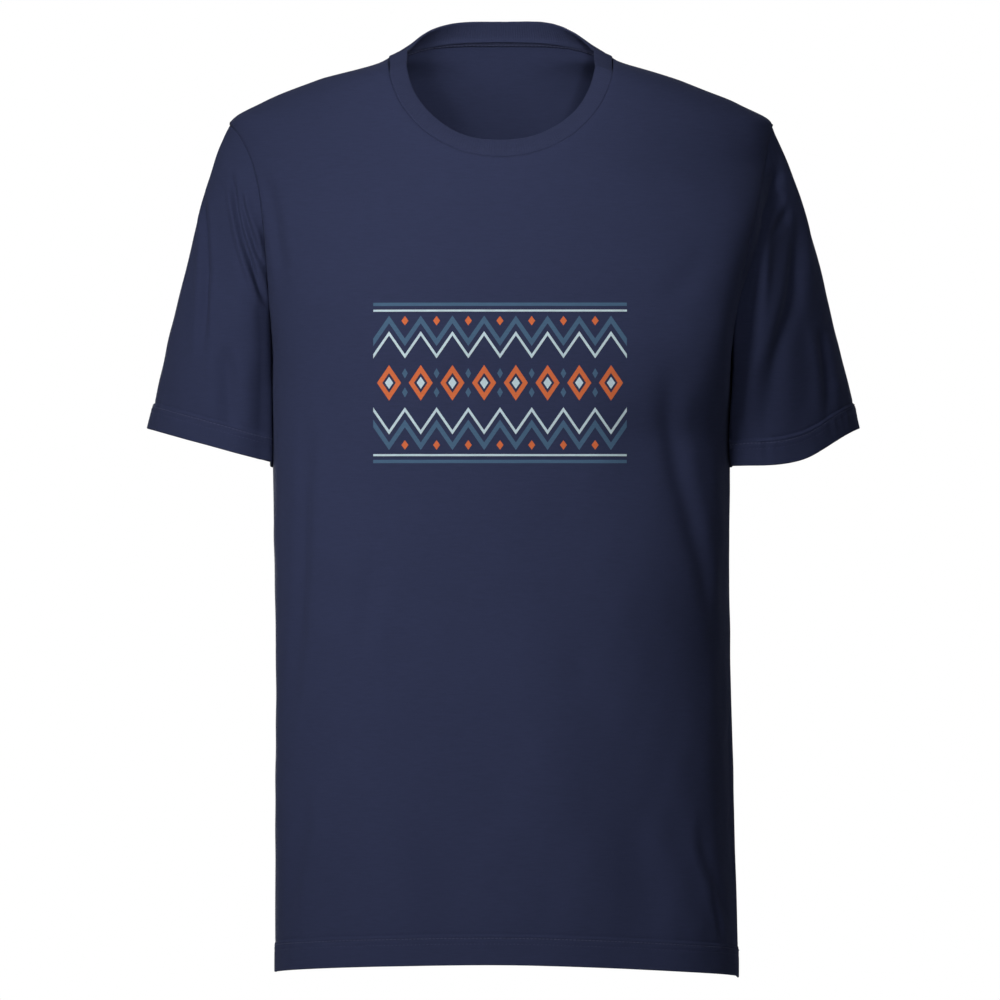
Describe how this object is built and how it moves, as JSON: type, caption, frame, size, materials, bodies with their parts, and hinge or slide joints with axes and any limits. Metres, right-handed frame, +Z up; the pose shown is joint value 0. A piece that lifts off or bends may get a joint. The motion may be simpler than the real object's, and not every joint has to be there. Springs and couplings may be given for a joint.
{
  "type": "t-shirt",
  "caption": "Short-sleeved crew-neck T-shirt in navy jersey with a ribbed neckband, set-in sleeves, turned-up stitched hems and a printed chest band, shaped as worn on a body or dress form.",
  "frame": {"origin": "midway between the two neck points, where the shoulder seams meet the neckband", "axes": "+Z up the body, +Y from the chest to the back, +X across the shirt to the wearer's left; the chest faces -Y"},
  "size_m": [0.5626, 0.226, 0.7585],
  "materials": {
    "jersey": "matt single jersey knit",
    "rib": "matt rib knit",
    "tape": "matt woven tape",
    "overlock": "matt overlocked seam allowance"
  },
  "bodies": {
    "root": {"front_panel": "jersey", "back_panel": "jersey", "left_sleeve": "jersey", "right_sleeve": "jersey", "neckband": "rib", "back_neck_tape": "tape", "left_shoulder_tape": "tape", "right_shoulder_tape": "tape", "front_hem": "jersey", "back_hem": "jersey", "left_sleeve_hem": "jersey", "right_sleeve_hem": "jersey", "left_side_seam": "overlock", "right_side_seam": "overlock", "left_armhole_seam": "overlock", "right_armhole_seam": "overlock", "left_sleeve_seam": "overlock", "right_sleeve_seam": "overlock"}
  },
  "joints": []
}
